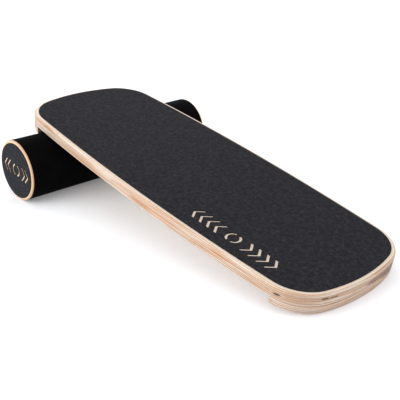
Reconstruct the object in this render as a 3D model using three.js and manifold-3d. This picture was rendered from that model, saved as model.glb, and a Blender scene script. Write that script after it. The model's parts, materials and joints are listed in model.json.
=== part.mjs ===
// Balance board: a bow-sided plywood deck with a grip top and an end stop under each end,
// resting on a loose roller. The roller stands against one stop and the other stop is on the floor.
// Millimetres, +Z up. The roller's axis lies along Y, and the deck slopes down towards +X.

import * as THREE from "three";
import { mergeVertices } from "three/addons/utils/BufferGeometryUtils.js";
import Module from "manifold-3d";

const wasm = await Module();
wasm.setup();

// ---------- driving dimensions ----------

// Clearance between pieces that touch, and round pieces that turn inside one another.
const TOUCH_GAP = 0.3;
const TURN_GAP = 0.5;

const DECK = {
  length: 715,
  width: 273,
  sideBow: 15.6,
  endBow: 32.2,
  cornerRadius: 70,
  thickness: 18.9,
  topRound: 3.5,
  underRound: 1.6,
  // How far the deck sits off the middle of the roller, towards -Y.
  offCentre: 11.1,
};

const GRIP = { thickness: 1.2, inset: 7.2 };

const STOP = { thickness: 12.75, depth: 66.7, round: 2.4, topRound: 0.6 };

const ROLLER = {
  radius: 55,
  length: 405.4,
  sleeveWall: 5,
  coreWall: 5,
  discThickness: 11.2,
  flangeThickness: 2.8,
  flangeRound: 2.5,
  padThickness: 0.8,
  padRadius: 50.4,
  plugThickness: 18,
  centreDiscThickness: 12,
};

const STOP_SCREW = { headRadius: 4, shankRadius: 2, length: 25, rowX: 36, rowY: [-88, -30, 30, 88] };
const DISC_SCREW = { headRadius: 3.5, shankRadius: 1.75, length: 25, count: 3, circleRadius: 39 };
const SCREW_HOLE_GAP = 0.3;
const TIP_LENGTH = 4;
const RECESS = { width: 1.1, span: 4.4, depth: 2 };

// The rocker mark cut out of the grip: a ring in two halves between rows of chevrons.
const DECK_MARK = { x: 184, y: -92.8, ring: 13, chevrons: 4, first: 23, pitch: 16, height: 28, stroke: 4.2 };
const FACE_MARK = { x: 0, y: 1, ring: 12, chevrons: 2, first: 17, pitch: 10.5, height: 26, stroke: 3.4 };
const FACE_MARK_TILT = THREE.MathUtils.degToRad(-6);
const MARK_BRIDGE = THREE.MathUtils.degToRad(16);
// A chevron's lean as a share of its height, and its arms' width as a share of the stroke.
const CHEVRON_LEAN = 0.36;
const CHEVRON_ARM = 1.2;

const ROUND_SEGMENTS = 96;
const SCREW_SEGMENTS = 12;
const ROUNDING_STEPS = 4;
const HALF_RING_STEPS = 8;
const OUTLINE_STEPS = { end: 6, corner: 10, side: 8 };
// How far a cutter reaches beyond what it cuts, and how near two corners are when they count as one.
const OVERCUT = 2;
const SAME_POINT = 1e-4;

// ---------- worked-out dimensions ----------

const stopDrop = TOUCH_GAP + STOP.thickness;
const rollerDrop = ROLLER.radius + TOUCH_GAP;
// Half the roller's chord at the level of the stop's lower edge.
const chordReach = Math.sqrt(ROLLER.radius ** 2 - (rollerDrop - stopDrop) ** 2);
// From the middle of the deck to the line where the roller carries it.
const rollerReach = DECK.length / 2 - STOP.depth - TOUCH_GAP - chordReach;
const slope = deckSlope();

// Slope at which the floor stop's rounded lower edge just reaches the floor.
function deckSlope() {
  const drop = rollerDrop - stopDrop + STOP.round;
  const reach = rollerReach + DECK.length / 2 - STOP.round;
  return Math.asin((ROLLER.radius - STOP.round) / Math.hypot(drop, reach)) + Math.atan2(drop, reach);
}

// ---------- materials ----------

const FINISHES = {
  birchPly: { color: 0xd9bd97, roughness: 0.55, metalness: 0 },
  deckGrip: { color: 0x343438, roughness: 0.95, metalness: 0 },
  faceGrip: { color: 0x2e3034, roughness: 0.95, metalness: 0 },
  rubber: { color: 0x0c0c0e, roughness: 0.45, metalness: 0 },
  cardboard: { color: 0xa78660, roughness: 0.9, metalness: 0 },
  zincSteel: { color: 0xb9bcc0, roughness: 0.35, metalness: 1 },
};

/** A named piece with a material of its own. */
function piece(name, geometry, finish) {
  const mesh = new THREE.Mesh(geometry, new THREE.MeshStandardMaterial(FINISHES[finish]));
  mesh.name = name;
  return mesh;
}

// ---------- solids ----------

function toSolid(geometry) {
  const bare = geometry.clone();
  bare.deleteAttribute("normal");
  bare.deleteAttribute("uv");
  const merged = mergeVertices(bare, SAME_POINT);
  return new wasm.Manifold(new wasm.Mesh({
    numProp: 3,
    vertProperties: new Float32Array(merged.attributes.position.array),
    triVerts: new Uint32Array(merged.index.array),
  }));
}

function toGeometry(solid) {
  const mesh = solid.getMesh();
  const geometry = new THREE.BufferGeometry();
  geometry.setAttribute("position", new THREE.BufferAttribute(mesh.vertProperties, 3));
  geometry.setIndex(new THREE.BufferAttribute(mesh.triVerts, 1));
  geometry.computeVertexNormals();
  return geometry;
}

/** The first geometry with all the cutters taken away. */
function cut(geometry, cutters) {
  return toGeometry(cutters.reduce((solid, cutter) => solid.subtract(toSolid(cutter)), toSolid(geometry)));
}

/** A box between two corners. */
function boxBetween(low, high) {
  const size = high.map((value, axis) => value - low[axis]);
  const middle = high.map((value, axis) => (value + low[axis]) / 2);
  return new THREE.BoxGeometry(...size).translate(...middle);
}

/** An outline made into a plate from low to high. */
function extruded(outline, low, high) {
  const options = { depth: high - low, bevelEnabled: false };
  return new THREE.ExtrudeGeometry(new THREE.Shape(outline), options).translate(0, 0, low);
}

// ---------- the deck's outline ----------

/** Points of an arc, leaving out the last one. */
function arcPoints(centre, radius, from, to, steps) {
  return Array.from({ length: steps }, (_, step) => {
    const angle = from + ((to - from) * step) / steps;
    return new THREE.Vector2(centre.x + radius * Math.cos(angle), centre.y + radius * Math.sin(angle));
  });
}

/** Outline of bowed sides, bowed ends and round corners, drawn in by inset all round, anticlockwise. */
function deckOutline(inset) {
  const halfLength = DECK.length / 2;
  const halfWidth = DECK.width / 2;
  const sideRadius = (halfLength ** 2 + DECK.sideBow ** 2) / (2 * DECK.sideBow);
  const endRadius = (halfWidth ** 2 + DECK.endBow ** 2) / (2 * DECK.endBow);
  const sideCentre = new THREE.Vector2(0, halfWidth - sideRadius);
  const endCentre = new THREE.Vector2(halfLength - endRadius, 0);

  // The corner's centre lies where circles drawn in by the corner radius cross.
  const toSide = sideRadius - DECK.cornerRadius;
  const toEnd = endRadius - DECK.cornerRadius;
  const apart = endCentre.clone().sub(sideCentre);
  const along = (toSide ** 2 - toEnd ** 2 + apart.lengthSq()) / (2 * apart.length());
  const across = Math.sqrt(toSide ** 2 - along ** 2);
  const unit = apart.clone().normalize();
  const corner = sideCentre.clone().addScaledVector(unit, along);
  corner.add(new THREE.Vector2(unit.y, -unit.x).multiplyScalar(across));

  const sideAngle = corner.clone().sub(sideCentre).angle();
  const endAngle = corner.clone().sub(endCentre).angle();
  const quarter = [
    ...arcPoints(endCentre, endRadius - inset, 0, endAngle, OUTLINE_STEPS.end),
    ...arcPoints(corner, DECK.cornerRadius - inset, endAngle, sideAngle, OUTLINE_STEPS.corner),
    ...arcPoints(sideCentre, sideRadius - inset, sideAngle, Math.PI / 2, OUTLINE_STEPS.side),
    new THREE.Vector2(0, halfWidth - inset),
  ];
  const flip = (points, x, y) => points.map((p) => new THREE.Vector2(p.x * x, p.y * y));
  return [
    ...quarter,
    ...flip(quarter.slice(0, -1).reverse(), -1, 1),
    ...flip(quarter.slice(1), -1, -1),
    ...flip(quarter.slice(1, -1).reverse(), 1, -1),
  ];
}

/** A slab on the deck's outline from low to high, with its lower and upper edges rounded. */
function roundedSlab(low, high, lowRound, highRound) {
  const levels = [];
  for (let step = 0; step <= ROUNDING_STEPS; step += 1) {
    const turn = (Math.PI / 2) * (step / ROUNDING_STEPS);
    levels.push([lowRound * (1 - Math.sin(turn)), low + lowRound * (1 - Math.cos(turn))]);
  }
  for (let step = 0; step <= ROUNDING_STEPS; step += 1) {
    const turn = (Math.PI / 2) * (step / ROUNDING_STEPS);
    levels.push([highRound * (1 - Math.cos(turn)), high - highRound * (1 - Math.sin(turn))]);
  }
  const rings = levels.map(([inset, z]) => deckOutline(inset).map((p) => [p.x, p.y, z]));
  const count = rings[0].length;
  const positions = rings.flat(2);
  const faces = [];
  for (let level = 0; level < rings.length - 1; level += 1) {
    for (let index = 0; index < count; index += 1) {
      const next = (index + 1) % count;
      const [a, b] = [level * count + index, level * count + next];
      faces.push(a, b, b + count, a, b + count, a + count);
    }
  }
  const lowCap = THREE.ShapeUtils.triangulateShape(deckOutline(levels[0][0]), []);
  const highCap = THREE.ShapeUtils.triangulateShape(deckOutline(levels.at(-1)[0]), []);
  lowCap.forEach(([a, b, c]) => faces.push(a, c, b));
  const top = count * (rings.length - 1);
  highCap.forEach(([a, b, c]) => faces.push(top + a, top + b, top + c));

  const geometry = new THREE.BufferGeometry();
  geometry.setAttribute("position", new THREE.Float32BufferAttribute(positions, 3));
  geometry.setIndex(faces);
  geometry.computeVertexNormals();
  return geometry;
}

// ---------- the rocker mark ----------

/** One chevron with its point towards +X when side is 1, and towards -X when side is -1. */
function chevron(x, side, mark) {
  const lean = mark.height * CHEVRON_LEAN;
  const half = mark.height / 2;
  const wide = mark.stroke * CHEVRON_ARM;
  return [
    [0, -half], [wide, -half], [lean + wide, 0], [wide, half], [0, half], [lean, 0],
  ].map(([px, py]) => new THREE.Vector2(x + side * px, py));
}

/** Half of a ring, on the +X side when side is 1, with a bridge left at each end. */
function halfRing(side, mark) {
  const middle = side > 0 ? 0 : Math.PI;
  const reach = Math.PI / 2 - MARK_BRIDGE;
  const centre = new THREE.Vector2(0, 0);
  return [
    ...arcPoints(centre, mark.ring, middle - reach, middle + reach, HALF_RING_STEPS),
    ...arcPoints(centre, mark.ring, middle + reach, middle + reach, 1),
    ...arcPoints(centre, mark.ring - mark.stroke, middle + reach, middle - reach, HALF_RING_STEPS),
    ...arcPoints(centre, mark.ring - mark.stroke, middle - reach, middle - reach, 1),
  ];
}

/** Cutters for the mark through a sheet that lies on z = 0, turned by tilt and placed at the mark's middle. */
function markCutters(mark, thickness, tilt) {
  const outlines = [];
  for (const side of [-1, 1]) {
    outlines.push(halfRing(side, mark));
    for (let index = 0; index < mark.chevrons; index += 1) {
      outlines.push(chevron(side * (mark.first + index * mark.pitch), side, mark));
    }
  }
  return outlines.map((points) => (
    extruded(points, -OVERCUT, thickness + OVERCUT).rotateZ(tilt).translate(mark.x, mark.y, 0)
  ));
}

/** A flat sheet with the mark cut through it, from z = 0 up. */
function markedSheet(outline, thickness, mark, tilt) {
  return cut(extruded(outline, 0, thickness), markCutters(mark, thickness, tilt));
}

// ---------- screws ----------

/** Profile of a countersunk screw, head up at y = 0, grown by gap. A hole's mouth stands above the head. */
function screwProfile(screw, gap) {
  const cone = screw.headRadius - screw.shankRadius;
  const bottom = -screw.length - gap;
  const mouth = gap > 0 ? [new THREE.Vector2(screw.headRadius + gap, gap)] : [];
  return [
    new THREE.Vector2(0, bottom),
    new THREE.Vector2(screw.shankRadius + gap, bottom + TIP_LENGTH),
    new THREE.Vector2(screw.shankRadius + gap, -cone - gap),
    new THREE.Vector2(screw.headRadius + gap, -gap),
    ...mouth,
    new THREE.Vector2(0, gap),
  ];
}

/** A screw pointing down -Z from z = 0, with a cross recess in its head. */
function screwGeometry(screw) {
  const body = new THREE.LatheGeometry(screwProfile(screw, 0), SCREW_SEGMENTS).rotateX(Math.PI / 2);
  const { width, span, depth } = RECESS;
  return cut(body, [
    boxBetween([-span / 2, -width / 2, -depth], [span / 2, width / 2, OVERCUT]),
    boxBetween([-width / 2, -span / 2, -depth], [width / 2, span / 2, OVERCUT]),
  ]);
}

function screwHole(screw) {
  return new THREE.LatheGeometry(screwProfile(screw, SCREW_HOLE_GAP), SCREW_SEGMENTS).rotateX(Math.PI / 2);
}

// ---------- deck ----------

/** Where each screw of the stop at the given end enters, on the stop's lower face. */
function stopScrewSpots(end) {
  const x = end * (DECK.length / 2 - STOP_SCREW.rowX);
  return STOP_SCREW.rowY.map((y) => new THREE.Vector3(x, y, -stopDrop));
}

/** The holes that the stop screws at one end need, in the stop and in the deck alike. */
function stopScrewHoles(end) {
  return stopScrewSpots(end).map((spot) => screwHole(STOP_SCREW).rotateX(Math.PI).translate(...spot));
}

/** The part of the deck's outline beyond the stop's straight inner edge, drilled for its screws. */
function stopGeometry(end) {
  const slab = roundedSlab(-stopDrop, -TOUCH_GAP, STOP.round, STOP.topRound);
  const inner = DECK.length / 2 - STOP.depth;
  const [from, to] = end > 0 ? [-DECK.length, inner] : [-inner, DECK.length];
  const rest = boxBetween([from, -DECK.width, -stopDrop - OVERCUT], [to, DECK.width, OVERCUT]);
  return cut(slab, [rest, ...stopScrewHoles(end)]);
}

function buildDeck() {
  const deck = new THREE.Group();
  const board = roundedSlab(0, DECK.thickness, DECK.underRound, DECK.topRound);
  deck.add(piece("deck_board", cut(board, [...stopScrewHoles(-1), ...stopScrewHoles(1)]), "birchPly"));

  const grip = markedSheet(deckOutline(GRIP.inset), GRIP.thickness, DECK_MARK, 0);
  grip.translate(0, 0, DECK.thickness + TOUCH_GAP);
  deck.add(piece("grip_sheet", grip, "deckGrip"));

  for (const [end, name] of [[-1, "roller_end"], [1, "floor_end"]]) {
    deck.add(piece(`${name}_stop`, stopGeometry(end), "birchPly"));
    stopScrewSpots(end).forEach((spot, index) => {
      const screw = piece(`${name}_screw_${index + 1}`, screwGeometry(STOP_SCREW), "zincSteel");
      screw.rotation.x = Math.PI;
      screw.position.copy(spot);
      deck.add(screw);
    });
  }

  // The deck's origin is the middle of its underside, rollerReach down the slope from the roller.
  deck.rotation.y = slope;
  deck.position.set(0, 0, ROLLER.radius);
  deck.updateMatrix();
  deck.position.copy(new THREE.Vector3(rollerReach, -DECK.offCentre, rollerDrop).applyMatrix4(deck.matrix));
  return deck;
}

// ---------- roller ----------

/** A ring of rectangular section about the Y axis. */
function ringGeometry(innerRadius, outerRadius, halfLength) {
  const profile = [
    new THREE.Vector2(innerRadius, -halfLength),
    new THREE.Vector2(outerRadius, -halfLength),
    new THREE.Vector2(outerRadius, halfLength),
    new THREE.Vector2(innerRadius, halfLength),
    new THREE.Vector2(innerRadius, -halfLength),
  ];
  return new THREE.LatheGeometry(profile, ROUND_SEGMENTS);
}

/** A disc about the Y axis, from y = 0 up. */
function discGeometry(radius, thickness) {
  return new THREE.CylinderGeometry(radius, radius, thickness, ROUND_SEGMENTS).translate(0, thickness / 2, 0);
}

/** End disc, outer face at y = 0: a spigot that fills the sleeve and a flange with a rounded rim. */
function endDiscGeometry(spigotRadius) {
  const { radius, discThickness, flangeThickness, flangeRound } = ROLLER;
  const rim = Array.from({ length: ROUNDING_STEPS + 1 }, (_, step) => {
    const turn = (Math.PI / 2) * (step / ROUNDING_STEPS);
    const r = radius - flangeRound * (1 - Math.cos(turn));
    return new THREE.Vector2(r, -flangeRound * (1 - Math.sin(turn)));
  });
  return new THREE.LatheGeometry([
    new THREE.Vector2(0, -discThickness),
    new THREE.Vector2(spigotRadius, -discThickness),
    new THREE.Vector2(spigotRadius, -flangeThickness),
    new THREE.Vector2(radius, -flangeThickness),
    ...rim,
    new THREE.Vector2(0, 0),
  ], ROUND_SEGMENTS);
}

/** Where the disc screws enter, on an end disc's outer face. */
function discScrewSpots() {
  return Array.from({ length: DISC_SCREW.count }, (_, index) => {
    const angle = Math.PI / 2 + (index * 2 * Math.PI) / DISC_SCREW.count;
    const { circleRadius } = DISC_SCREW;
    return new THREE.Vector3(circleRadius * Math.cos(angle), 0, circleRadius * Math.sin(angle));
  });
}

/** One end of the roller, outer face up +Y, with y = 0 on the end disc's outer face. */
function buildRollerEnd(side, coreInner, sleeveInner) {
  const end = new THREE.Group();
  const spots = discScrewSpots();
  const holes = () => spots.map((spot) => screwHole(DISC_SCREW).rotateX(-Math.PI / 2).translate(...spot));

  const disc = endDiscGeometry(sleeveInner - TOUCH_GAP);
  end.add(piece(`${side}_end_disc`, cut(disc, holes()), "birchPly"));

  const plugTop = -ROLLER.discThickness - TOUCH_GAP;
  const plug = discGeometry(coreInner - TURN_GAP, ROLLER.plugThickness);
  plug.translate(0, plugTop - ROLLER.plugThickness, 0);
  end.add(piece(`${side}_end_plug`, cut(plug, holes()), "birchPly"));

  spots.forEach((spot, index) => {
    const screw = screwGeometry(DISC_SCREW).rotateX(-Math.PI / 2);
    const mesh = piece(`${side}_disc_screw_${index + 1}`, screw, "zincSteel");
    mesh.position.copy(spot);
    end.add(mesh);
  });

  const face = arcPoints(new THREE.Vector2(0, 0), ROLLER.padRadius, 0, 2 * Math.PI, ROUND_SEGMENTS);
  const pad = markedSheet(face, ROLLER.padThickness, FACE_MARK, FACE_MARK_TILT);
  pad.rotateX(-Math.PI / 2).translate(0, TOUCH_GAP, 0);
  end.add(piece(`${side}_face_pad`, pad, "faceGrip"));
  return end;
}

function buildRoller() {
  const roller = new THREE.Group();
  const sleeveInner = ROLLER.radius - ROLLER.sleeveWall;
  const coreOuter = sleeveInner - TURN_GAP;
  const coreInner = coreOuter - ROLLER.coreWall;
  const faceAt = ROLLER.length / 2 - ROLLER.padThickness - TOUCH_GAP;

  const sleeveHalf = faceAt - ROLLER.flangeThickness - TOUCH_GAP;
  roller.add(piece("roller_sleeve", ringGeometry(sleeveInner, ROLLER.radius, sleeveHalf), "rubber"));

  const coreHalf = faceAt - ROLLER.discThickness - TURN_GAP;
  roller.add(piece("core_tube", ringGeometry(coreInner, coreOuter, coreHalf), "cardboard"));

  const centre = discGeometry(coreInner - TURN_GAP, ROLLER.centreDiscThickness);
  centre.translate(0, -ROLLER.centreDiscThickness / 2, 0);
  roller.add(piece("centre_disc", centre, "birchPly"));

  const near = buildRollerEnd("near", coreInner, sleeveInner);
  near.rotation.x = Math.PI;
  near.position.y = -faceAt;
  const far = buildRollerEnd("far", coreInner, sleeveInner);
  far.position.y = faceAt;
  roller.add(near, far);

  roller.position.z = ROLLER.radius;
  return roller;
}

// ---------- the whole board ----------

const balanceBoard = new THREE.Group();
balanceBoard.add(buildDeck(), buildRoller());

// The origin is the middle of the whole object's bottom face.
const extent = new THREE.Box3().setFromObject(balanceBoard, true);
const middle = extent.getCenter(new THREE.Vector3());
balanceBoard.position.set(-middle.x, -middle.y, -extent.min.z);

export default balanceBoard;
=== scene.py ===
"""Balance board: the looks of a plywood deck, its grip and its roller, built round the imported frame.

Everything is drawn in millimetres and made in metres. The deck's pieces lie in the deck's own frame: x along the
deck, y across it and z up through its thickness, with z = 0 on its underside. The pieces of each roller end lie
in a frame of their own: z out of the end, with z = 0 on the wooden disc's face.
"""

from __future__ import annotations

import json
import logging
import math
from collections.abc import Callable, Iterable, Sequence
from dataclasses import dataclass, field
from enum import Enum
from functools import cache, partial

import bmesh
import bpy
from mathutils import Matrix, Vector

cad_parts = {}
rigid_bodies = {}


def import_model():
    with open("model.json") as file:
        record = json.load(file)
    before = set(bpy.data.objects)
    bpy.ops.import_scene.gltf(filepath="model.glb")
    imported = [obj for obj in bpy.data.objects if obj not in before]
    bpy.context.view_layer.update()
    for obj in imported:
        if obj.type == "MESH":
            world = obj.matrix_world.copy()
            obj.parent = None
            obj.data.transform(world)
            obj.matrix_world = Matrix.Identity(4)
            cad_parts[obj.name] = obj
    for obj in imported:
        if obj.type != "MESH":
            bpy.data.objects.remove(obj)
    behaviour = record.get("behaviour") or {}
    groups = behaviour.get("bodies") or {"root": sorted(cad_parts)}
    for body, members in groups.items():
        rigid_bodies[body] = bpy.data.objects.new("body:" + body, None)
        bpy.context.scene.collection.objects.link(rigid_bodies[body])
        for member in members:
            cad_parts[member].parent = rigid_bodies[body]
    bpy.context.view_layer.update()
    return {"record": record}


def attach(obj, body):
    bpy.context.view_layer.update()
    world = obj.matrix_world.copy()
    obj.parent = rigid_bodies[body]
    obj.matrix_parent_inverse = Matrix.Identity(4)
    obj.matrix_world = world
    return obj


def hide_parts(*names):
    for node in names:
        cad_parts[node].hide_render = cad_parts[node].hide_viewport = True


LOG = logging.getLogger("balance_board")
MM = 0.001
CRISP_TURN = math.radians(30)
# Width of the band inside each rounded edge that takes up the change in shading, so that flats stay flat.
FLAT_MARGIN = 0.8
ROUNDING_STEPS = 6
ROUND_SEGMENTS = 144
# How far a mark's cutter reaches past each side of its sheet.
CUT_MARGIN = 1.0
# Node settings that many patterns share.
SMOOTH = {"interpolation_type": "SMOOTHSTEP"}
COLOUR = {"data_type": "RGBA"}

Point = tuple[float, float]
AddNode = Callable[..., bpy.types.Node]


# ---------- small helpers ----------


def linear(hex_colour: str) -> tuple[float, float, float, float]:
    """Turns an sRGB hex colour into linear light.

    Args:
        hex_colour: six hex digits, such as "E6CBA4".

    Returns:
        Linear red, green, blue and an alpha of 1.
    """
    channels = [int(hex_colour[i : i + 2], 16) / 255 for i in (0, 2, 4)]
    red, green, blue = (c / 12.92 if c <= 0.04045 else ((c + 0.055) / 1.055) ** 2.4 for c in channels)
    return (red, green, blue, 1.0)


def add_node(
    tree: bpy.types.NodeTree, kind: str, inputs: dict[str | int, object] | None = None, **settings: object
) -> bpy.types.Node:
    """Adds one node with its settings, values and links.

    Args:
        tree: the node tree to add to.
        kind: the node's type name, without the leading "ShaderNode".
        inputs: for each input, by name or number, a value, an output to link from, or a node whose first
            working output is linked.
        settings: attributes of the node.

    Returns:
        The new node.
    """
    made = tree.nodes.new(f"ShaderNode{kind}")
    for name, value in settings.items():
        setattr(made, name, value)
    for key, value in (inputs or {}).items():
        if isinstance(value, bpy.types.Node):
            value = next(output for output in value.outputs if output.enabled)
        if isinstance(value, bpy.types.NodeSocket):
            tree.links.new(value, made.inputs[key])
        else:
            made.inputs[key].default_value = value
    return made


def arc(centre: Sequence[float], radius: float, start: float, end: float, steps: int) -> list[Point]:
    """Points along an arc, without its last point.

    Args:
        centre: the arc's centre.
        radius: its radius.
        start: the first angle, in radians.
        end: the last angle, in radians.
        steps: how many points to give.

    Returns:
        The points in order.
    """
    angles = [start + (end - start) * step / steps for step in range(steps)]
    return [(centre[0] + radius * math.cos(a), centre[1] + radius * math.sin(a)) for a in angles]


def rounding(radius: float) -> list[Point]:
    """Section of a rounded edge, from the side face to the flat face.

    Args:
        radius: the edge's radius.

    Returns:
        Pairs of inset and rise, from (0, 0) on the side to (radius, radius) on the flat.
    """
    turns = [math.pi / 2 * step / ROUNDING_STEPS for step in range(ROUNDING_STEPS + 1)]
    return [(radius * (1 - math.cos(t)), radius * math.sin(t)) for t in turns]


def slab_edge(low: float, high: float, low_round: float, high_round: float) -> list[Point]:
    """Section of a slab's edge, from its lower flat round its side to its upper flat.

    Args:
        low: height of the lower flat.
        high: height of the upper flat.
        low_round: radius of the lower edge.
        high_round: radius of the upper edge.

    Returns:
        Pairs of inset and height.
    """
    lower = [(inset, low + low_round - rise) for inset, rise in reversed(rounding(low_round))]
    upper = [(inset, high - high_round + rise) for inset, rise in rounding(high_round)]
    return [(low_round + FLAT_MARGIN, low), *lower, *upper, (high_round + FLAT_MARGIN, high)]


# ---------- mesh making ----------


@dataclass
class MeshDraft:
    """A mesh in the making, in millimetres, put together from rings of points.

    The frame turns and moves whatever is drawn next.
    """

    name: str
    frame: Matrix = field(default_factory=Matrix)
    mesh: bmesh.types.BMesh = field(default_factory=bmesh.new)

    def ring(self, points: Iterable[Sequence[float]]) -> list[bmesh.types.BMVert]:
        """Adds a ring of vertices and returns it."""
        return [self.mesh.verts.new(self.frame @ Vector(point)) for point in points]

    def bridge(self, low: list[bmesh.types.BMVert], high: list[bmesh.types.BMVert]) -> None:
        """Joins two rings of the same length with a band of faces."""
        for index, corner in enumerate(low):
            after = (index + 1) % len(low)
            self.mesh.faces.new((corner, low[after], high[after], high[index]))

    def loft(self, rings: list[list[Sequence[float]]], capped: bool = True) -> None:
        """Skins a stack of rings.

        Args:
            rings: rings of points, all of one length.
            capped: closes both ends with a flat face; if not, the last ring joins the first.
        """
        made = [self.ring(points) for points in rings]
        for low, high in zip(made, made[1:]):
            self.bridge(low, high)
        if capped:
            self.mesh.faces.new(list(reversed(made[0])))
            self.mesh.faces.new(made[-1])
        else:
            self.bridge(made[-1], made[0])

    def lathe(self, profile: Sequence[Point], segments: int = ROUND_SEGMENTS, capped: bool = True) -> None:
        """Turns a profile of radius and height pairs about the z axis.

        Args:
            profile: the pairs, in order.
            segments: how many facets the turning has.
            capped: closes both ends; if not, the profile is a closed loop.
        """
        turns = [2 * math.pi * index / segments for index in range(segments)]
        self.loft([[(r * math.cos(t), r * math.sin(t), z) for t in turns] for r, z in profile], capped)

    def finish(self, place: Matrix) -> bpy.types.Object:
        """Makes the object, smooth but for its sharp edges.

        Args:
            place: the object's place in the row frame.

        Returns:
            The finished object, linked to the scene.
        """
        bmesh.ops.scale(self.mesh, vec=(MM, MM, MM), verts=self.mesh.verts[:])
        bmesh.ops.recalc_face_normals(self.mesh, faces=self.mesh.faces[:])
        data = bpy.data.meshes.new(self.name)
        self.mesh.to_mesh(data)
        self.mesh.free()
        data.polygons.foreach_set("use_smooth", [True] * len(data.polygons))
        data.set_sharp_from_angle(angle=CRISP_TURN)
        made = bpy.data.objects.new(self.name, data)
        made.matrix_world = place
        bpy.context.scene.collection.objects.link(made)
        return made


def carved(body: bpy.types.Object, cutter: bpy.types.Object) -> bpy.types.Object:
    """Cuts a solid out of a body and removes the cutter.

    Args:
        body: the object to cut.
        cutter: closed mesh to take away.

    Returns:
        The body, with its new mesh.
    """
    body.modifiers.new("cut", "BOOLEAN").object = cutter
    bpy.context.view_layer.update()
    graph = bpy.context.evaluated_depsgraph_get()
    data = bpy.data.meshes.new_from_object(body.evaluated_get(graph), depsgraph=graph)
    body.modifiers.clear()
    body.data = data
    data.set_sharp_from_angle(angle=CRISP_TURN)
    bpy.data.objects.remove(cutter)
    return body


# ---------- finishes ----------


@dataclass(frozen=True)
class Finish:
    """A finish for one kind of surface: a material that its pieces share."""

    name: str
    slot: str

    @cache
    def material(self) -> bpy.types.Material:
        """Makes the material at the first call, wired up by the finish's own pattern, and gives it each time."""
        made = bpy.data.materials.new(self.name)
        made.use_nodes = True
        made.node_tree.nodes.clear()
        add = partial(add_node, made.node_tree)
        place = add("TexCoord").outputs["Object"]
        point = add("VectorMath", {0: place, "Scale": 1 / MM}, operation="SCALE")
        shader = add("BsdfPrincipled", {**self.wire(add, point), **self.surface()})
        add("OutputMaterial", {"Surface": shader})
        return made

    def wire(self, add: AddNode, point: bpy.types.Node) -> dict[str, object]:
        """Adds the nodes of the pattern.

        Args:
            add: adds a node to the material.
            point: the point on the piece, in its own frame, in millimetres.

        Returns:
            The shader's inputs that the pattern drives.
        """
        raise NotImplementedError

    def surface(self) -> dict[str, object]:
        """The shader's values that are the same all over."""
        raise NotImplementedError


@dataclass(frozen=True)
class Scar:
    """A knot, gap or darker stretch in the wood: its middle and half sizes in millimetres, and how strong it is."""

    middle: tuple[float, float, float]
    spread: tuple[float, float, float]
    colour: str
    share: float


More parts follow.
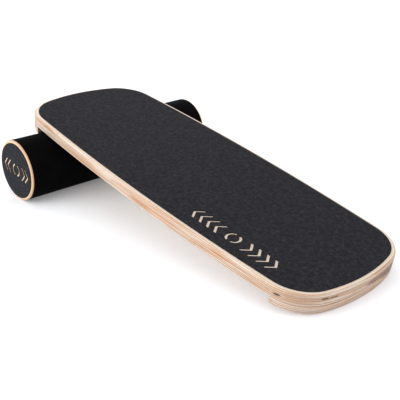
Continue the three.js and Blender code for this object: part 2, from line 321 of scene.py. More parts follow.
@dataclass(frozen=True)
class BirchPly(Finish):
    """Birch plywood, sawn, sanded round and sealed with clear satin lacquer.

    It gives the eye pale cream veneer on the faces. On the edges the plies whose grain runs along the edge are
    pale and smooth, the crossing ones show darker end grain, and brown streaks and small gaps break them up.
    """

    name: str = "birch_plywood_sanded_and_lacquered"
    slot: str = "birch_ply"
    ply: float = 1.42
    wander: float = 0.22
    glue: float = 0.2
    core_shade: float = 0.1
    # Scale of the grain along its run, against 1 across it, and the shift in the noise from ply to ply.
    stretch: float = 0.03
    ply_shift: float = 37.7
    face: str = "D9C2AD"
    grain: str = "CDAA88"
    pale: str = "E6D8CB"
    end_grain: str = "A88670"
    pore: str = "86614B"
    streak: str = "B37C4A"
    glue_line: str = "7A5636"
    # Painted shade: the near-black inside the knot gaps.
    gap: str = "2E1B10"
    scars: tuple[Scar, ...] = (
        Scar((300.0, -124.0, 8.0), (8.0, 8.0, 2.6), "40260F", 1.0),
        Scar((347.0, -79.0, 12.0), (8.0, 9.0, 2.2), "3E2618", 1.0),
        Scar((350.0, -64.0, 11.0), (7.0, 10.0, 2.0), "5B3D2B", 0.9),
        Scar((356.0, 28.0, 8.0), (14.0, 36.0, 7.5), "7E5440", 1.0),
        Scar((350.0, 66.0, 4.0), (18.0, 38.0, 11.0), "653F2C", 1.0),
        Scar((24.0, -136.0, 8.0), (34.0, 9.0, 3.0), "AD6A33", 0.85),
        Scar((80.0, -136.0, 8.5), (48.0, 9.0, 2.6), "B97B48", 0.8),
        Scar((196.0, -132.0, 11.0), (28.0, 9.0, 3.0), "B27138", 0.85),
        Scar((-250.0, -128.0, 15.0), (26.0, 9.0, 3.4), "A8713F", 0.7),
        Scar((-320.0, -112.0, 8.0), (34.0, 32.0, 16.0), "AC7A50", 0.75),
    )

    def wire(self, add: AddNode, point: bpy.types.Node) -> dict[str, object]:
        """Adds the nodes of the plies, the grain, the streaks and the gaps."""
        x, y, z = add("SeparateXYZ", {0: point}).outputs
        normal = add("TexCoord").outputs["Normal"]
        facing = add("VectorMath", {0: normal}, operation="ABSOLUTE")
        facing_x, facing_y, facing_up = add("SeparateXYZ", {0: facing}).outputs

        # Veneers are never quite level, so each ply wanders up and down a little along the edge.
        level = add("TexNoise", {"Vector": point, "Scale": 0.012, "Detail": 2.0})
        lift = add("Math", {0: level, 1: 2 * self.wander, 2: -self.wander}, operation="MULTIPLY_ADD")
        height = add("Math", {0: z, 1: lift}, operation="ADD")
        count = add("Math", {0: height, 1: self.ply}, operation="DIVIDE")
        layer = add("Math", {0: count}, operation="FLOOR")
        within = add("Math", {0: count}, operation="FRACT")
        pair = add("Math", {0: layer, 1: 2.0}, operation="FLOORED_MODULO")
        crossing = add("Math", {0: pair, 1: 0.5}, operation="GREATER_THAN")

        # How far the surface cuts across this ply's grain: 1 shows end grain, 0 the side of the grain.
        cut_across = add("Mix", {0: crossing, 2: facing_x, 3: facing_y})
        tint = add("TexWhiteNoise", {"W": layer}, noise_dimensions="1D")
        most_end = add("MapRange", {0: tint, 3: 0.25, 4: 1.0})
        end_share = add("MapRange", {0: cut_across, 1: 0.25, 2: 0.95, 4: most_end}, **SMOOTH)

        # Grain runs along x in one ply and along y in the next, and each ply has its own.
        shift = add("Math", {0: layer, 1: self.ply_shift}, operation="MULTIPLY")
        slow_x = add("Math", {0: x, 1: self.stretch}, operation="MULTIPLY")
        slow_y = add("Math", {0: y, 1: self.stretch}, operation="MULTIPLY")
        along_x = add("CombineXYZ", {0: slow_x, 1: y, 2: shift})
        along_y = add("CombineXYZ", {0: slow_y, 1: x, 2: shift})
        run = add("Mix", {0: crossing, 4: along_x, 5: along_y}, data_type="VECTOR")
        grain = add("TexNoise", {"Vector": run, "Scale": 0.42, "Detail": 4.0})
        pores = add("TexNoise", {"Vector": point, "Scale": 1.1, "Detail": 3.0})
        spread = add("CombineXYZ", {0: x, 1: y, 2: shift})
        broad = add("TexNoise", {"Vector": spread, "Scale": 0.011, "Detail": 1.0})
        fleck = add("TexNoise", {"Vector": spread, "Scale": 0.06, "Detail": 2.0})

        # Sides of plies: veneer colour with broad warm stretches and short brown streaks.
        grain_share = add("MapRange", {0: grain, 1: 0.35, 2: 0.75}, **SMOOTH)
        broad_share = add("MapRange", {0: broad, 1: 0.46, 2: 0.7, 4: 0.55}, **SMOOTH)
        pale_share = add("MapRange", {0: broad, 1: 0.52, 2: 0.34, 4: 0.8}, **SMOOTH)
        fleck_share = add("MapRange", {0: fleck, 1: 0.62, 2: 0.75, 4: 0.5}, **SMOOTH)
        pore_share = add("MapRange", {0: pores, 1: 0.3, 2: 0.7}, **SMOOTH)
        veneer = {0: grain_share, 6: linear(self.face), 7: linear(self.grain)}
        face = add("Mix", veneer, **COLOUR)
        side = add("Mix", {0: pale_share, 6: face, 7: linear(self.pale)}, **COLOUR)
        side = add("Mix", {0: broad_share, 6: side, 7: linear(self.streak)}, **COLOUR)
        side = add("Mix", {0: fleck_share, 6: side, 7: linear(self.streak)}, **COLOUR)
        end = {0: pore_share, 6: linear(self.end_grain), 7: linear(self.pore)}
        edge = add("Mix", {0: end_share, 6: side, 7: add("Mix", end, **COLOUR)}, **COLOUR)

        # The crossing plies are of a darker grade of veneer.
        core_share = add("Math", {0: crossing, 1: self.core_shade}, operation="MULTIPLY")
        edge = add("Mix", {0: core_share, 6: edge, 7: linear(self.glue_line)}, **COLOUR)

        # Glue shows as a thin brown line between plies, drawn a little wider than it is so that it shows at all.
        near_line = add("Math", {0: count, 1: 0.5}, operation="PINGPONG")
        line_steps = {0: near_line, 1: self.glue / self.ply, 2: 0.0, 4: 0.6}
        line = add("MapRange", line_steps, **SMOOTH)
        edge = add("Mix", {0: line, 6: edge, 7: linear(self.glue_line)}, **COLOUR)

        # Knots were cut out of a few core veneers and left small gaps, with their inner shade painted near-black.
        nearest = add("TexVoronoi", {"Vector": spread, "Scale": 0.016}).outputs["Distance"]
        knot = add("MapRange", {0: nearest, 1: 0.075, 2: 0.045}, **SMOOTH)
        from_line = add("Math", {0: within, 1: 0.5}, operation="PINGPONG")
        core = add("MapRange", {0: from_line, 1: 0.08, 2: 0.2}, **SMOOTH)
        knot_core = add("Math", {0: knot, 1: core}, operation="MULTIPLY")
        hole = add("Math", {0: knot_core, 1: crossing}, operation="MULTIPLY")
        # Painted shade: the gaps get a near-black colour for the shade inside them.
        edge = add("Mix", {0: hole, 6: edge, 7: linear(self.gap)}, **COLOUR)

        # The wood's own marks on the deck's edge, drawn out ragged along the grain.
        ragged = add("MapRange", {0: grain, 1: 0.25, 2: 0.5, 3: 0.45})
        for scar in self.scars:
            away = add("VectorMath", {0: point, 1: scar.middle}, operation="SUBTRACT")
            shares = add("VectorMath", {0: away, 1: scar.spread}, operation="DIVIDE")
            reach = add("VectorMath", {0: shares}, operation="LENGTH")
            near = add("MapRange", {0: reach, 1: 1.0, 2: 0.45, 4: scar.share}, **SMOOTH)
            share = add("Math", {0: near, 1: ragged}, operation="MULTIPLY")
            edge = add("Mix", {0: share, 6: edge, 7: linear(scar.colour)}, **COLOUR)

        flat = add("MapRange", {0: facing_up, 1: 0.96, 2: 0.995}, **SMOOTH)
        top = add("Mix", {0: 0.6, 6: face, 7: linear(self.pale)}, **COLOUR)
        colour = add("Mix", {0: flat, 6: edge, 7: top}, **COLOUR)

        sunk = add("Math", {0: hole, 1: -6.0, 2: grain}, operation="MULTIPLY_ADD")
        relief = add("Math", {0: line, 1: -1.5, 2: sunk}, operation="MULTIPLY_ADD")
        bump = add("Bump", {"Height": relief, "Strength": 0.35, "Distance": 0.12 * MM})
        return {"Base Color": colour, "Normal": bump}

    def surface(self) -> dict[str, object]:
        """A thin satin lacquer over wood."""
        return {"Roughness": 0.5, "IOR": 1.5, "Coat Weight": 0.12, "Coat Roughness": 0.3}


@dataclass(frozen=True)
class Grip(Finish):
    """Anti-slip sheet: mineral grit rolled into black resin on a backing.

    It gives the eye a dead-matt charcoal, finely mottled, with painted glints on single grains.
    """

    grit: float = 1.3
    low: str = "17171C"
    high: str = "2F2F34"
    painted_glint: str = "4C4C53"

    def wire(self, add: AddNode, point: bpy.types.Node) -> dict[str, object]:
        """Adds the grit, the mottling and the painted glints. Real grit is 0.3 mm; it is drawn coarser, to show."""
        grains = add("TexVoronoi", {"Vector": point, "Scale": 1 / self.grit})
        tone = add("SeparateColor", {0: grains.outputs["Color"]}).outputs[0]
        mottle = add("TexNoise", {"Vector": point, "Scale": 0.16, "Detail": 3.0})
        soft = add("MapRange", {0: mottle, 1: 0.3, 2: 0.7}, **SMOOTH)
        mixed = add("Math", {0: tone, 1: soft}, operation="MULTIPLY")
        base = add("Mix", {0: mixed, 6: linear(self.low), 7: linear(self.high)}, **COLOUR)
        # Painted glints: the lightest grains get a lighter colour that stands in for light caught on them.
        painted_glint = add("MapRange", {0: tone, 1: 0.92, 2: 1.0, 4: 0.22}, **SMOOTH)
        colour = add("Mix", {0: painted_glint, 6: base, 7: linear(self.painted_glint)}, **COLOUR)
        relief = add("Math", {0: grains.outputs["Distance"], 1: -1.0}, operation="MULTIPLY")
        bump = add("Bump", {"Height": relief, "Strength": 0.6, "Distance": 0.25 * MM})
        return {"Base Color": colour, "Normal": bump}

    def surface(self) -> dict[str, object]:
        """Rough mineral, with very little gloss."""
        return {"Roughness": 0.85, "IOR": 1.5, "Specular IOR Level": 0.14}


@dataclass(frozen=True)
class SleeveRubber(Finish):
    """Moulded black rubber with the faint orange-peel skin of its mould.

    It gives the eye a deep black with one soft, broad highlight.
    """

    name: str = "black_rubber_moulded_satin"
    slot: str = "sleeve_rubber"
    body: str = "060607"
    bloom: str = "0B0B0D"

    def wire(self, add: AddNode, point: bpy.types.Node) -> dict[str, object]:
        """Adds the nodes of the mould skin and of a faint dusty bloom."""
        bloom = add("TexNoise", {"Vector": point, "Scale": 0.018, "Detail": 4.0})
        share = add("MapRange", {0: bloom, 1: 0.4, 2: 0.8}, **SMOOTH)
        colour = add("Mix", {0: share, 6: linear(self.body), 7: linear(self.bloom)}, **COLOUR)
        skin = add("TexNoise", {"Vector": point, "Scale": 0.7, "Detail": 2.0})
        bump = add("Bump", {"Height": skin, "Strength": 0.25, "Distance": 0.1 * MM})
        rough = add("MapRange", {0: bloom, 1: 0.3, 2: 0.8, 3: 0.68, 4: 0.8})
        return {"Base Color": colour, "Normal": bump, "Roughness": rough}

    def surface(self) -> dict[str, object]:
        """Rubber's low, soft gloss."""
        return {"IOR": 1.52, "Specular IOR Level": 0.014}


@dataclass(frozen=True)
class WoundBoard(Finish):
    """Spiral-wound kraft board. It gives the eye a matt brown with a darker seam down each side."""

    name: str = "kraft_board_spiral_wound"
    slot: str = "tube_board"
    paper: str = "A88460"
    seam: str = "7C5D40"

    def wire(self, add: AddNode, point: bpy.types.Node) -> dict[str, object]:
        """Adds the nodes of the paper's fibres and of the seams, which run along the tube."""
        x, y, _ = add("SeparateXYZ", {0: point}).outputs
        across = add("Math", {0: x, 1: 0.6, 2: y}, operation="MULTIPLY_ADD")
        from_seam = add("Math", {0: across}, operation="ABSOLUTE")
        seam = add("MapRange", {0: from_seam, 1: 1.2, 2: 0.0})
        fibre = add("TexNoise", {"Vector": point, "Scale": 0.5, "Detail": 4.0})
        share = add("Math", {0: seam, 1: fibre}, operation="MAXIMUM")
        colour = add("Mix", {0: share, 6: linear(self.paper), 7: linear(self.seam)}, **COLOUR)
        bump = add("Bump", {"Height": fibre, "Strength": 0.2, "Distance": 0.1 * MM})
        return {"Base Color": colour, "Normal": bump}

    def surface(self) -> dict[str, object]:
        """Unsealed paper."""
        return {"Roughness": 0.9, "IOR": 1.5}


@dataclass(frozen=True)
class ZincSteel(Finish):
    """Steel wood screws, cold-headed and zinc-plated.

    It gives the eye a bright, slightly cloudy grey with fine turning marks.
    """

    name: str = "steel_zinc_plated"
    slot: str = "zinc_steel"
    bright: str = "C9CBD0"
    dull: str = "9FA3AA"

    def wire(self, add: AddNode, point: bpy.types.Node) -> dict[str, object]:
        """Adds the nodes of the plating's clouds and the fine marks of handling."""
        clouds = add("TexNoise", {"Vector": point, "Scale": 0.6, "Detail": 3.0})
        colour = add("Mix", {0: clouds, 6: linear(self.bright), 7: linear(self.dull)}, **COLOUR)
        marks = add("TexNoise", {"Vector": point, "Scale": 4.0, "Detail": 2.0})
        rough = add("MapRange", {0: marks, 3: 0.25, 4: 0.45})
        bump = add("Bump", {"Height": marks, "Strength": 0.15, "Distance": 0.05 * MM})
        return {"Base Color": colour, "Roughness": rough, "Normal": bump}

    def surface(self) -> dict[str, object]:
        """Bare metal."""
        return {"Metallic": 1.0}


@dataclass(frozen=True)
class LightTable(Finish):
    """Opal acrylic sheet of a light table, lit a little from below.

    It gives the eye a white floor with pale shadows.
    """

    name: str = "opal_acrylic_lit_from_below"
    slot: str = ""
    white: str = "F5F8FC"
    shade: str = "F1F4F9"

    def wire(self, add: AddNode, point: bpy.types.Node) -> dict[str, object]:
        """Adds the nodes of the sheet's very faint unevenness."""
        cloud = add("TexNoise", {"Vector": point, "Scale": 0.002, "Detail": 1.0})
        shades = {0: cloud, 6: linear(self.white), 7: linear(self.shade)}
        return {"Base Color": add("Mix", shades, **COLOUR)}

    def surface(self) -> dict[str, object]:
        """Satin acrylic that glows faintly."""
        return {"Roughness": 0.95, "Specular IOR Level": 0.1, "Emission Color": (1, 1, 1, 1), "Emission Strength": 0.14}


# ---------- the frame ----------


class Body(Enum):
    """The frame's bodies."""

    CORE = "core"
    CARRIER = "tilt_carrier"
    DECK = "deck"
    ROLLER = "roller"


class DeckEnd(Enum):
    """The two ends of the deck, by the sign of x."""

    ROLLER = -1
    FLOOR = 1

    @property
    def label(self) -> str:
        """The end's name in the names of pieces and nodes."""
        return f"{self.name.lower()}_end"


class RollerEnd(Enum):
    """The two ends of the roller, by the sign of y."""

    NEAR = -1
    FAR = 1

    @property
    def label(self) -> str:
        """The end's name in the names of pieces and nodes."""
        return self.name.lower()


@dataclass(frozen=True)
class Places:
    """Where the sub-assemblies' own frames lie in the row frame.

    The roller's frame has z along its axis, towards +Y, and the deck's is the one that the deck is drawn in.
    """

    deck: Matrix
    roller: Matrix

    @classmethod
    def read(cls, record: dict, deck_height: float) -> Places:
        """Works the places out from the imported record.

        Args:
            record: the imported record.
            deck_height: from the deck's underside to the top of its grip, in millimetres.

        Returns:
            The places.
        """
        top = next(mount for mount in record["mounts"] if mount["name"] == "standing_surface")
        joints = {joint["name"]: joint for joint in record["behaviour"]["joints"]}
        up = Vector(top["axis"]).normalized()
        along = -Vector(joints["deck_travel"]["axis"]).normalized()
        origin = Vector(top["pos_m"]) - up * deck_height * MM
        deck = Matrix.Translation(origin) @ Matrix((along, up.cross(along), up)).transposed().to_4x4()
        axle = Vector(joints["roller_spin"]["pos_m"])
        return cls(deck, Matrix.Translation(axle) @ Matrix.Rotation(-math.pi / 2, 4, "X"))

    def roller_end(self, end: RollerEnd, reach: float) -> Matrix:
        """The frame of one roller end, with its z axis out of the end.

        Args:
            end: which end.
            reach: from the middle of the roller to the end's frame, in millimetres.

        Returns:
            The frame.
        """
        flip = Matrix.Rotation(math.pi, 4, "X") if end is RollerEnd.NEAR else Matrix()
        return self.roller @ flip @ Matrix.Translation((0, 0, reach * MM))


@dataclass
class Piece:
    """A finished piece, and the frame's node and body that it belongs to."""

    thing: bpy.types.Object
    node: str
    body: Body
    finish: Finish

    def dress(self) -> None:
        """Gives the piece its material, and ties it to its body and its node."""
        self.thing.data.materials.clear()
        self.thing.data.materials.append(self.finish.material())
        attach(self.thing, self.body.value)
        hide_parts(self.node)


@dataclass
class Assembly:
    """A sub-assembly: it builds its pieces, which ride on its body, then dresses them."""

    places: Places
    body: Body = Body.CORE
    pieces: list[Piece] = field(default_factory=list, init=False)

    def add(self, thing: bpy.types.Object, node: str, finish: Finish) -> None:
        """Notes a finished piece."""
        self.pieces.append(Piece(thing, node, self.body, finish))

    def build(self) -> None:
        """Builds every piece."""
        raise NotImplementedError

    def dress(self) -> None:
        """Dresses every piece."""
        for piece in self.pieces:
            piece.dress()


# ---------- shapes that both sub-assemblies use ----------


@dataclass(frozen=True)
class RockerMark:
    """A ring in two halves between rows of chevrons, cut through a grip sheet to the wood."""

    x: float
    y: float
    ring: float
    chevrons: int
    first: float
    pitch: float
    height: float
    stroke: float
    tilt: float = 0.0
    bridge: float = math.radians(16)
    lean: float = 0.36
    arm: float = 1.2
    steps: int = 24

    def chevron(self, index: int, side: int) -> list[Point]:
        """Outline of one chevron, which points away from the ring.

        Args:
            index: its place in its row, from 0.
            side: 1 for the row towards +x, -1 for the other.

        Returns:
            The outline.
        """
        tail = self.first + index * self.pitch
        lean, half, wide = self.lean * self.height, self.height / 2, self.arm * self.stroke
        shape = [(0, -half), (wide, -half), (lean + wide, 0), (wide, half), (0, half), (lean, 0)]
        return [(side * (tail + x), y) for x, y in shape]

    def half_ring(self, side: int) -> list[Point]:
        """Outline of half of the ring, with a bridge of sheet left at each of its ends."""
        middle = 0.0 if side > 0 else math.pi
        reach = math.pi / 2 - self.bridge
        inner = self.ring - self.stroke
        return [
            *arc((0, 0), self.ring, middle - reach, middle + reach, self.steps),
            *arc((0, 0), self.ring, middle + reach, middle + reach, 1),
            *arc((0, 0), inner, middle + reach, middle - reach, self.steps),
            *arc((0, 0), inner, middle - reach, middle - reach, 1),
        ]

    def cutter(self, low: float, high: float, place: Matrix) -> bpy.types.Object:
        """A solid that cuts the mark out of a sheet.

        Args:
            low: where it starts, below the sheet.
            high: where it ends, above the sheet.
            place: the sheet's place in the row frame.

        Returns:
            The cutter.
        """
        draft = MeshDraft("mark_cutter")
        draft.frame = Matrix.Translation((self.x, self.y, 0)) @ Matrix.Rotation(self.tilt, 4, "Z")
        for side in (-1, 1):
            for loop in (self.half_ring(side), *(self.chevron(i, side) for i in range(self.chevrons))):
                draft.loft([[(x, y, z) for x, y in loop] for z in (low, high)])
        return draft.finish(place)


@dataclass(frozen=True)
class Screw:
    """A countersunk wood screw with a cross recess, which points down from its head at z = 0."""

    head_radius: float
    shank_radius: float
    length: float = 25.0
    tip_length: float = 4.0
    tip_radius: float = 0.05
    head_rim: float = 0.3
    rim_ease: float = 0.1
    recess_width: float = 1.1
    recess_span: float = 4.4
    recess_depth: float = 2.0
    recess_taper: float = 0.55
    hole_gap: float = 0.25
    segments: int = 40

    def profile(self, gap: float, mouth: Sequence[Point]) -> list[Point]:
        """Half section from the tip up, grown by gap, that ends with the points of its mouth."""
        neck = self.head_radius - self.shank_radius + self.head_rim
        shank = self.shank_radius + gap
        return [
            (self.tip_radius, -self.length - gap),
            (shank, self.tip_length - self.length),
            (shank, -neck),
            (self.head_radius + gap, -self.head_rim),
            *mouth,
        ]

    def recess(self, place: Matrix) -> bpy.types.Object:
        """The cutter of the cross recess, which narrows downwards."""
        draft = MeshDraft("recess_cutter")
        narrow, wide = self.recess_width / 2, self.recess_span / 2
        arm = [(wide, -narrow), (wide, narrow), (narrow, narrow)]
        turns = [Matrix.Rotation(quarter * math.pi / 2, 2) for quarter in range(4)]
        cross = [turn @ Vector(corner) for turn in turns for corner in arm]
        foot = [(*(corner * self.recess_taper), -self.recess_depth) for corner in cross]
        draft.loft([foot, [(*corner, self.recess_depth) for corner in cross]])
        return draft.finish(place)

    def build(self, name: str, place: Matrix) -> bpy.types.Object:
        """Turns the screw and cuts its recess.

        Args:
            name: the screw's name.
            place: its place in the row frame.

        Returns:
            The screw.
        """
        rim = [(self.head_radius, -self.rim_ease), (self.head_radius - self.rim_ease, 0)]
        draft = MeshDraft(name)
        draft.lathe(self.profile(0, rim), self.segments)
        return carved(draft.finish(place), self.recess(place))

    def holes(self, spots: Iterable[Matrix], place: Matrix) -> bpy.types.Object:
        """The cutter that makes room for screws.

        Args:
            spots: the screws' frames within the piece, in millimetres.
            place: the piece's place in the row frame.

        Returns:
            The cutter.
        """
        draft = MeshDraft("screw_hole_cutter")
        mouth = [(self.head_radius + self.hole_gap, self.head_rim)]
        for spot in spots:
            draft.frame = spot
            draft.lathe(self.profile(self.hole_gap, mouth), self.segments)
        return draft.finish(place)


def in_metres(spot: Matrix) -> Matrix:
    """The same frame with its position turned from millimetres to metres."""
    made = spot.copy()
    made.translation *= MM
    return made


# ---------- the deck ----------


@dataclass
class Outline:
    """The deck's outline: bowed sides, bowed ends and round corners."""

    length: float = 715.0
    width: float = 273.0
    side_bow: float = 15.6
    end_bow: float = 32.2
    corner_radius: float = 70.0
    end_steps: int = 24
    corner_steps: int = 36
    side_steps: int = 40
    side_radius: float = field(init=False)
    end_radius: float = field(init=False)
    side_centre: Vector = field(init=False)
    end_centre: Vector = field(init=False)
    corner_centre: Vector = field(init=False)
    end_turn: float = field(init=False)
    side_turn: float = field(init=False)

    def __post_init__(self) -> None:
        """Works out the circles of a side, an end and a corner, and the angles at which they meet."""
        half_length, half_width = self.length / 2, self.width / 2
        self.side_radius = (half_length**2 + self.side_bow**2) / (2 * self.side_bow)
        self.end_radius = (half_width**2 + self.end_bow**2) / (2 * self.end_bow)
        self.side_centre = Vector((0, half_width - self.side_radius))
        self.end_centre = Vector((half_length - self.end_radius, 0))

        # The corner's centre lies where the two circles, drawn in by the corner's radius, cross.
        to_side, to_end = self.side_radius - self.corner_radius, self.end_radius - self.corner_radius
        apart = self.end_centre - self.side_centre
        along = (to_side**2 - to_end**2 + apart.length_squared) / (2 * apart.length)
        across = math.sqrt(to_side**2 - along**2)
        unit = apart.normalized()
        self.corner_centre = self.side_centre + unit * along + Vector((unit.y, -unit.x)) * across
        self.end_turn = math.atan2(*(self.corner_centre - self.end_centre).yx)
        self.side_turn = math.atan2(*(self.corner_centre - self.side_centre).yx)

    def end_and_corner(self, inset: float, last_turn: float) -> list[Point]:
        """The arcs of half an end and of a corner up to last_turn, anticlockwise from the tip at +x."""
        return [
            *arc(self.end_centre, self.end_radius - inset, 0, self.end_turn, self.end_steps),
            *arc(self.corner_centre, self.corner_radius - inset, self.end_turn, last_turn, self.corner_steps),
        ]

    def whole(self, inset: float) -> list[Point]:
        """The whole outline, drawn in by inset."""
        side = arc(self.side_centre, self.side_radius - inset, self.side_turn, math.pi / 2, self.side_steps)
        first = [*self.end_and_corner(inset, self.side_turn), *side, (0, self.width / 2 - inset)]
        second = [(-x, y) for x, y in reversed(first[:-1])]
        third = [(-x, -y) for x, y in first[1:]]
        fourth = [(x, -y) for x, y in reversed(first[1:-1])]
        return [*first, *second, *third, *fourth]

    def beyond(self, line: float, inset: float, line_inset: float) -> list[Point]:
        """The part of the outline past a straight line that crosses its corners.

        Args:
            line: the line's x.
            inset: how far the outline is drawn in.
            line_inset: how far the line is drawn in.

        Returns:
            The closed outline of the part, anticlockwise.
        """
        start = line + line_inset
        radius = self.corner_radius - inset
        cut_turn = math.acos((start - self.corner_centre.x) / radius)
        last = (start, self.corner_centre.y + radius * math.sin(cut_turn))
        first = [*self.end_and_corner(inset, cut_turn), last]
        return [*first, *((x, -y) for x, y in reversed(first[1:]))]


@dataclass
class Deck(Assembly):
    """The plywood board, its grip sheet, and the two stops screwed under its ends."""

    body: Body = Body.DECK
    outline: Outline = field(default_factory=Outline)
    thickness: float = 18.9
    top_round: float = 3.5
    under_round: float = 1.6
    grip_inset: float = 7.2
    grip_top: float = 20.4
    grip_face: float = 20.35
    grip_ease: float = 0.3
    stop_foot: float = -13.05
    stop_head: float = -0.05
    stop_depth: float = 66.7
    stop_foot_round: float = 2.4
    stop_head_round: float = 0.6
    straight_edge_share: float = 0.35
    hairline: float = 0.02
    screw: Screw = Screw(head_radius=4.0, shank_radius=2.0)
    screw_row: float = 36.0
    screw_across: tuple[float, ...] = (-88.0, -30.0, 30.0, 88.0)
    mark: RockerMark = RockerMark(184, -92.8, ring=13, chevrons=4, first=23, pitch=16, height=28, stroke=4.2)
    ply: Finish = BirchPly()
    stop_ply: Finish = BirchPly("birch_plywood_dark_cores_lacquered", core_shade=0.3)
    grip: Finish = Grip("grit_sheet_charcoal", "deck_grip")
    steel: Finish = ZincSteel()

    def build(self) -> None:
        """Builds the board, the grip, the stops and their screws."""
        self.build_board()
        self.build_grip()
        for end in DeckEnd:
            self.build_stop(end)
            self.build_screws(end)

    def screw_spots(self, end: DeckEnd) -> list[Matrix]:
        """The frames of the screws at one end, heads down, in the deck's frame."""
        x = end.value * (self.outline.length / 2 - self.screw_row)
        heads_down = Matrix.Rotation(math.pi, 4, "X")
        return [Matrix.Translation((x, y, self.stop_foot)) @ heads_down for y in self.screw_across]

    def build_board(self) -> None:
        """Builds the board with its rounded edges, and drills it."""
        section = slab_edge(0, self.thickness, self.under_round, self.top_round)
        draft = MeshDraft("plywood_deck")
        draft.loft([[(x, y, z) for x, y in self.outline.whole(inset)] for inset, z in section])
        spots = [spot for end in DeckEnd for spot in self.screw_spots(end)]
        drill = self.screw.holes(spots, self.places.deck)
        self.add(carved(draft.finish(self.places.deck), drill), "deck_board", self.ply)

    def build_grip(self) -> None:
        """Builds the grip sheet with the mark cut through it."""
        base = self.thickness + self.hairline
        section = slab_edge(base, self.grip_face, self.grip_ease, self.grip_ease)
        draft = MeshDraft("grit_sheet")
        draft.loft([[(x, y, z) for x, y in self.outline.whole(self.grip_inset + inset)] for inset, z in section])
        cutter = self.mark.cutter(base - CUT_MARGIN, self.grip_top + CUT_MARGIN, self.places.deck)
        self.add(carved(draft.finish(self.places.deck), cutter), "grip_sheet", self.grip)

    def build_stop(self, end: DeckEnd) -> None:
        """Builds the stop under one end, flush with the board's outline and straight on its inner side."""
        line = self.outline.length / 2 - self.stop_depth
        section = slab_edge(self.stop_foot, self.stop_head, self.stop_foot_round, self.stop_head_round)
        share = self.straight_edge_share
        loops = [(self.outline.beyond(line, inset, inset * share), z) for inset, z in section]
        draft = MeshDraft(f"{end.label}_block")
        draft.loft([[(end.value * x, y, z) for x, y in loop] for loop, z in loops])
        drill = self.screw.holes(self.screw_spots(end), self.places.deck)
        self.add(carved(draft.finish(self.places.deck), drill), f"{end.label}_stop", self.stop_ply)

    def build_screws(self, end: DeckEnd) -> None:
        """Builds the screws that hold one stop."""
        for number, spot in enumerate(self.screw_spots(end), 1):
            place = self.places.deck @ in_metres(spot)
            screw = self.screw.build(f"{end.label}_wood_screw_{number}", place)
            self.add(screw, f"{end.label}_screw_{number}", self.steel)


# ---------- the roller ----------


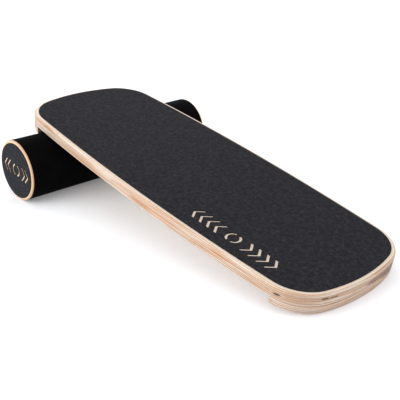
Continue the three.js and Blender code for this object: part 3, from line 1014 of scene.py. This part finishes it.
@dataclass
class Roller(Assembly):
    """The sleeve and, at each end, a wooden disc and plug, their screws, and a grip disc over them."""

    body: Body = Body.ROLLER
    radius: float = 55.0
    sleeve_inner: float = 50.0
    sleeve_half: float = 198.6
    sleeve_ease: float = 0.5
    face_reach: float = 201.6
    disc_thickness: float = 11.2
    flange_thickness: float = 2.8
    flange_round: float = 2.5
    flange_ease: float = 0.25
    spigot_radius: float = 49.7
    plug_radius: float = 44.0
    plug_head: float = -11.5
    plug_foot: float = -29.5
    plug_ease: float = 0.5
    pad_radius: float = 50.4
    pad_top: float = 1.1
    pad_ease: float = 0.3
    hairline: float = 0.02
    screw: Screw = Screw(head_radius=3.5, shank_radius=1.75)
    screw_circle: float = 39.0
    screw_count: int = 3
    mark: RockerMark = RockerMark(
        0, 1, ring=12, chevrons=2, first=17, pitch=10.5, height=26, stroke=3.4, tilt=math.radians(-6)
    )
    rubber: Finish = SleeveRubber()
    ply: Finish = BirchPly(
        "birch_plywood_turned_and_lacquered", face="D6B38F", grain="C69C74", pale="DBBF9F", end_grain="B68D69"
    )
    grip: Finish = Grip("grit_disc_charcoal", "face_grip", low="1A1C20", high="2C2E33")
    steel: Finish = ZincSteel()

    def build(self) -> None:
        """Builds the sleeve and both ends."""
        self.build_sleeve()
        for end in RollerEnd:
            place = self.places.roller_end(end, self.face_reach)
            self.build_disc(end, place)
            self.build_plug(end, place)
            self.build_screws(end, place)
            self.build_pad(end, place)

    def screw_spots(self) -> list[Matrix]:
        """The frames of the screws of one end, in that end's frame."""
        turns = [-math.pi / 2 - index * 2 * math.pi / self.screw_count for index in range(self.screw_count)]
        reach = self.screw_circle
        return [Matrix.Translation((reach * math.cos(t), reach * math.sin(t), 0)) for t in turns]

    def build_sleeve(self) -> None:
        """Builds the sleeve, with its ends just eased."""
        half = self.sleeve_half
        edge = slab_edge(-half, half, self.sleeve_ease, self.sleeve_ease)
        outside = [(self.radius - inset, z) for inset, z in edge]
        profile = [(self.sleeve_inner, -half), *outside, (self.sleeve_inner, half)]
        draft = MeshDraft("black_sleeve")
        draft.lathe(profile, capped=False)
        self.add(draft.finish(self.places.roller), "roller_sleeve", self.rubber)

    def build_disc(self, end: RollerEnd, place: Matrix) -> None:
        """Builds the wooden disc: a spigot inside the sleeve and a flange with a rounded rim."""
        flange = slab_edge(-self.flange_thickness, 0, self.flange_ease, self.flange_round)
        rim = [(self.radius - inset, z) for inset, z in flange[1:]]
        foot = -self.disc_thickness
        spigot = [(self.spigot_radius - FLAT_MARGIN, foot), (self.spigot_radius, foot)]
        step = (self.spigot_radius, -self.flange_thickness)
        draft = MeshDraft(f"{end.label}_wood_disc")
        draft.lathe([*spigot, step, *rim])
        drill = self.screw.holes(self.screw_spots(), place)
        self.add(carved(draft.finish(place), drill), f"{end.label}_end_disc", self.ply)

    def build_plug(self, end: RollerEnd, place: Matrix) -> None:
        """Builds the plug behind the disc, which the screws bite into."""
        section = slab_edge(self.plug_foot, self.plug_head, self.plug_ease, self.plug_ease)
        draft = MeshDraft(f"{end.label}_wood_plug")
        draft.lathe([(self.plug_radius - inset, z) for inset, z in section])
        drill = self.screw.holes(self.screw_spots(), place)
        self.add(carved(draft.finish(place), drill), f"{end.label}_end_plug", self.ply)

    def build_screws(self, end: RollerEnd, place: Matrix) -> None:
        """Builds the screws that hold one disc."""
        for number, spot in enumerate(self.screw_spots(), 1):
            screw = self.screw.build(f"{end.label}_wood_screw_{number}", place @ in_metres(spot))
            self.add(screw, f"{end.label}_disc_screw_{number}", self.steel)

    def build_pad(self, end: RollerEnd, place: Matrix) -> None:
        """Builds the grip disc with the mark cut through it."""
        section = slab_edge(self.hairline, self.pad_top, self.pad_ease, self.pad_ease)
        draft = MeshDraft(f"{end.label}_grit_disc")
        draft.lathe([(self.pad_radius - inset, z) for inset, z in section])
        cutter = self.mark.cutter(-CUT_MARGIN, self.pad_top + CUT_MARGIN, place)
        self.add(carved(draft.finish(place), cutter), f"{end.label}_face_pad", self.grip)


@dataclass
class Core(Assembly):
    """The wound tube inside the sleeve, and the wooden disc in its middle, which rides on the carrier."""

    tube_outer: float = 49.5
    tube_inner: float = 44.5
    tube_half: float = 189.9
    disc_radius: float = 44.0
    disc_half: float = 6.0
    disc_ease: float = 0.5
    board: Finish = WoundBoard()
    ply: Finish = BirchPly()

    def build(self) -> None:
        """Builds the tube and the disc."""
        tube = MeshDraft("wound_tube")
        walls = [(self.tube_inner, -1), (self.tube_outer, -1), (self.tube_outer, 1), (self.tube_inner, 1)]
        tube.lathe([(r, side * self.tube_half) for r, side in walls], capped=False)
        self.add(tube.finish(self.places.roller), "core_tube", self.board)

        disc = MeshDraft("middle_wood_disc")
        section = slab_edge(-self.disc_half, self.disc_half, self.disc_ease, self.disc_ease)
        disc.lathe([(self.disc_radius - inset, z) for inset, z in section])
        self.pieces.append(Piece(disc.finish(self.places.roller), "centre_disc", Body.CARRIER, self.ply))


# ---------- the studio ----------


@dataclass(frozen=True)
class Softbox:
    """A square area light, with its middle at one point and its face towards another, in metres."""

    name: str
    at: tuple[float, float, float]
    aim: tuple[float, float, float]
    width: float
    watts: float

    def build(self) -> None:
        """Hangs the light."""
        light = bpy.data.lights.new(self.name, "AREA")
        light.shape = "SQUARE"
        light.size = self.width
        light.energy = self.watts
        made = bpy.data.objects.new(self.name, light)
        direction = Vector(self.aim) - Vector(self.at)
        turn = direction.to_track_quat("-Z", "Y").to_matrix().to_4x4()
        made.matrix_world = Matrix.Translation(self.at) @ turn
        bpy.context.scene.collection.objects.link(made)


@dataclass
class Studio:
    """A light table for a floor, a white room, soft lights, and the camera.

    In metres and degrees, but for the lens and the sensor, which are in millimetres.
    """

    # The camera, seen from the point on the floor under the middle of the roller.
    eye: tuple[float, float, float] = (1.08447, -0.76556, 0.52978)
    azimuth: float = 47.039
    elevation: float = 24.109
    roll: float = 0.746
    lens: float = 64.36
    sensor: float = 36.0
    floor_half: float = 4.0
    room_strength: float = 1.05
    softboxes: tuple[Softbox, ...] = (
        Softbox("overhead_softbox", (0.0, 0.1, 2.2), (0.0, 0.0, 0.0), 2.0, 4.0),
        Softbox("front_left_softbox", (-0.8, -2.0, 0.6), (0.0, 0.0, 0.05), 1.2, 22.0),
        Softbox("back_left_softbox", (-1.9, 1.2, 0.9), (-0.1, 0.0, 0.1), 1.0, 6.0),
    )

    def build(self, places: Places) -> None:
        """Builds the camera first, then the room, the floor and the lights."""
        self.build_camera(places)
        self.build_room()
        self.build_floor()
        for softbox in self.softboxes:
            softbox.build()

    def build_camera(self, places: Places) -> None:
        """Sets up the camera."""
        data = bpy.data.cameras.new("studio_camera")
        data.sensor_width = self.sensor
        data.lens = self.lens
        camera = bpy.data.objects.new("studio_camera", data)
        foot = places.roller.translation * Vector((1, 1, 0))
        level = Matrix.Rotation(math.radians(self.azimuth), 4, "Z")
        tilt = Matrix.Rotation(math.radians(90 - self.elevation), 4, "X")
        roll = Matrix.Rotation(math.radians(self.roll), 4, "Z")
        camera.matrix_world = Matrix.Translation(foot + Vector(self.eye)) @ level @ tilt @ roll
        bpy.context.scene.collection.objects.link(camera)
        bpy.context.scene.camera = camera

    def build_room(self) -> None:
        """Makes the room evenly white, and keeps black and white as strong as they are."""
        scene = bpy.context.scene
        scene.view_settings.view_transform = "Standard"
        scene.world = bpy.data.worlds.new("white_room")
        scene.world.use_nodes = True
        tree = scene.world.node_tree
        tree.nodes.clear()
        glow = add_node(tree, "Background", {"Color": (1, 1, 1, 1), "Strength": self.room_strength})
        add_node(tree, "OutputWorld", {"Surface": glow})

    def build_floor(self) -> None:
        """Lays the light table's sheet."""
        draft = MeshDraft("studio_floor")
        reach = self.floor_half / MM
        corners = [(-reach, -reach, 0), (reach, -reach, 0), (reach, reach, 0), (-reach, reach, 0)]
        draft.mesh.faces.new(draft.ring(corners))
        floor = draft.finish(Matrix())
        floor.data.materials.append(LightTable().material())


# ---------- the whole board ----------


def main() -> None:
    """Loads the frame, then builds the studio, the deck, the roller and its core, in that order."""
    logging.basicConfig(level=logging.INFO, format="%(name)s: %(message)s")
    for leftover in list(bpy.data.objects):
        bpy.data.objects.remove(leftover)
    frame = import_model()
    places = Places.read(frame["record"], Deck.grip_top)
    Studio().build(places)
    for assembly in (Deck(places), Roller(places), Core(places)):
        assembly.build()
        assembly.dress()
        for piece in assembly.pieces:
            faces = len(piece.thing.data.polygons)
            LOG.info("%s: %d faces, stands for %s, rides on %s", piece.thing.name, faces, piece.node, piece.body.value)


if __name__ == "__main__":
    main()
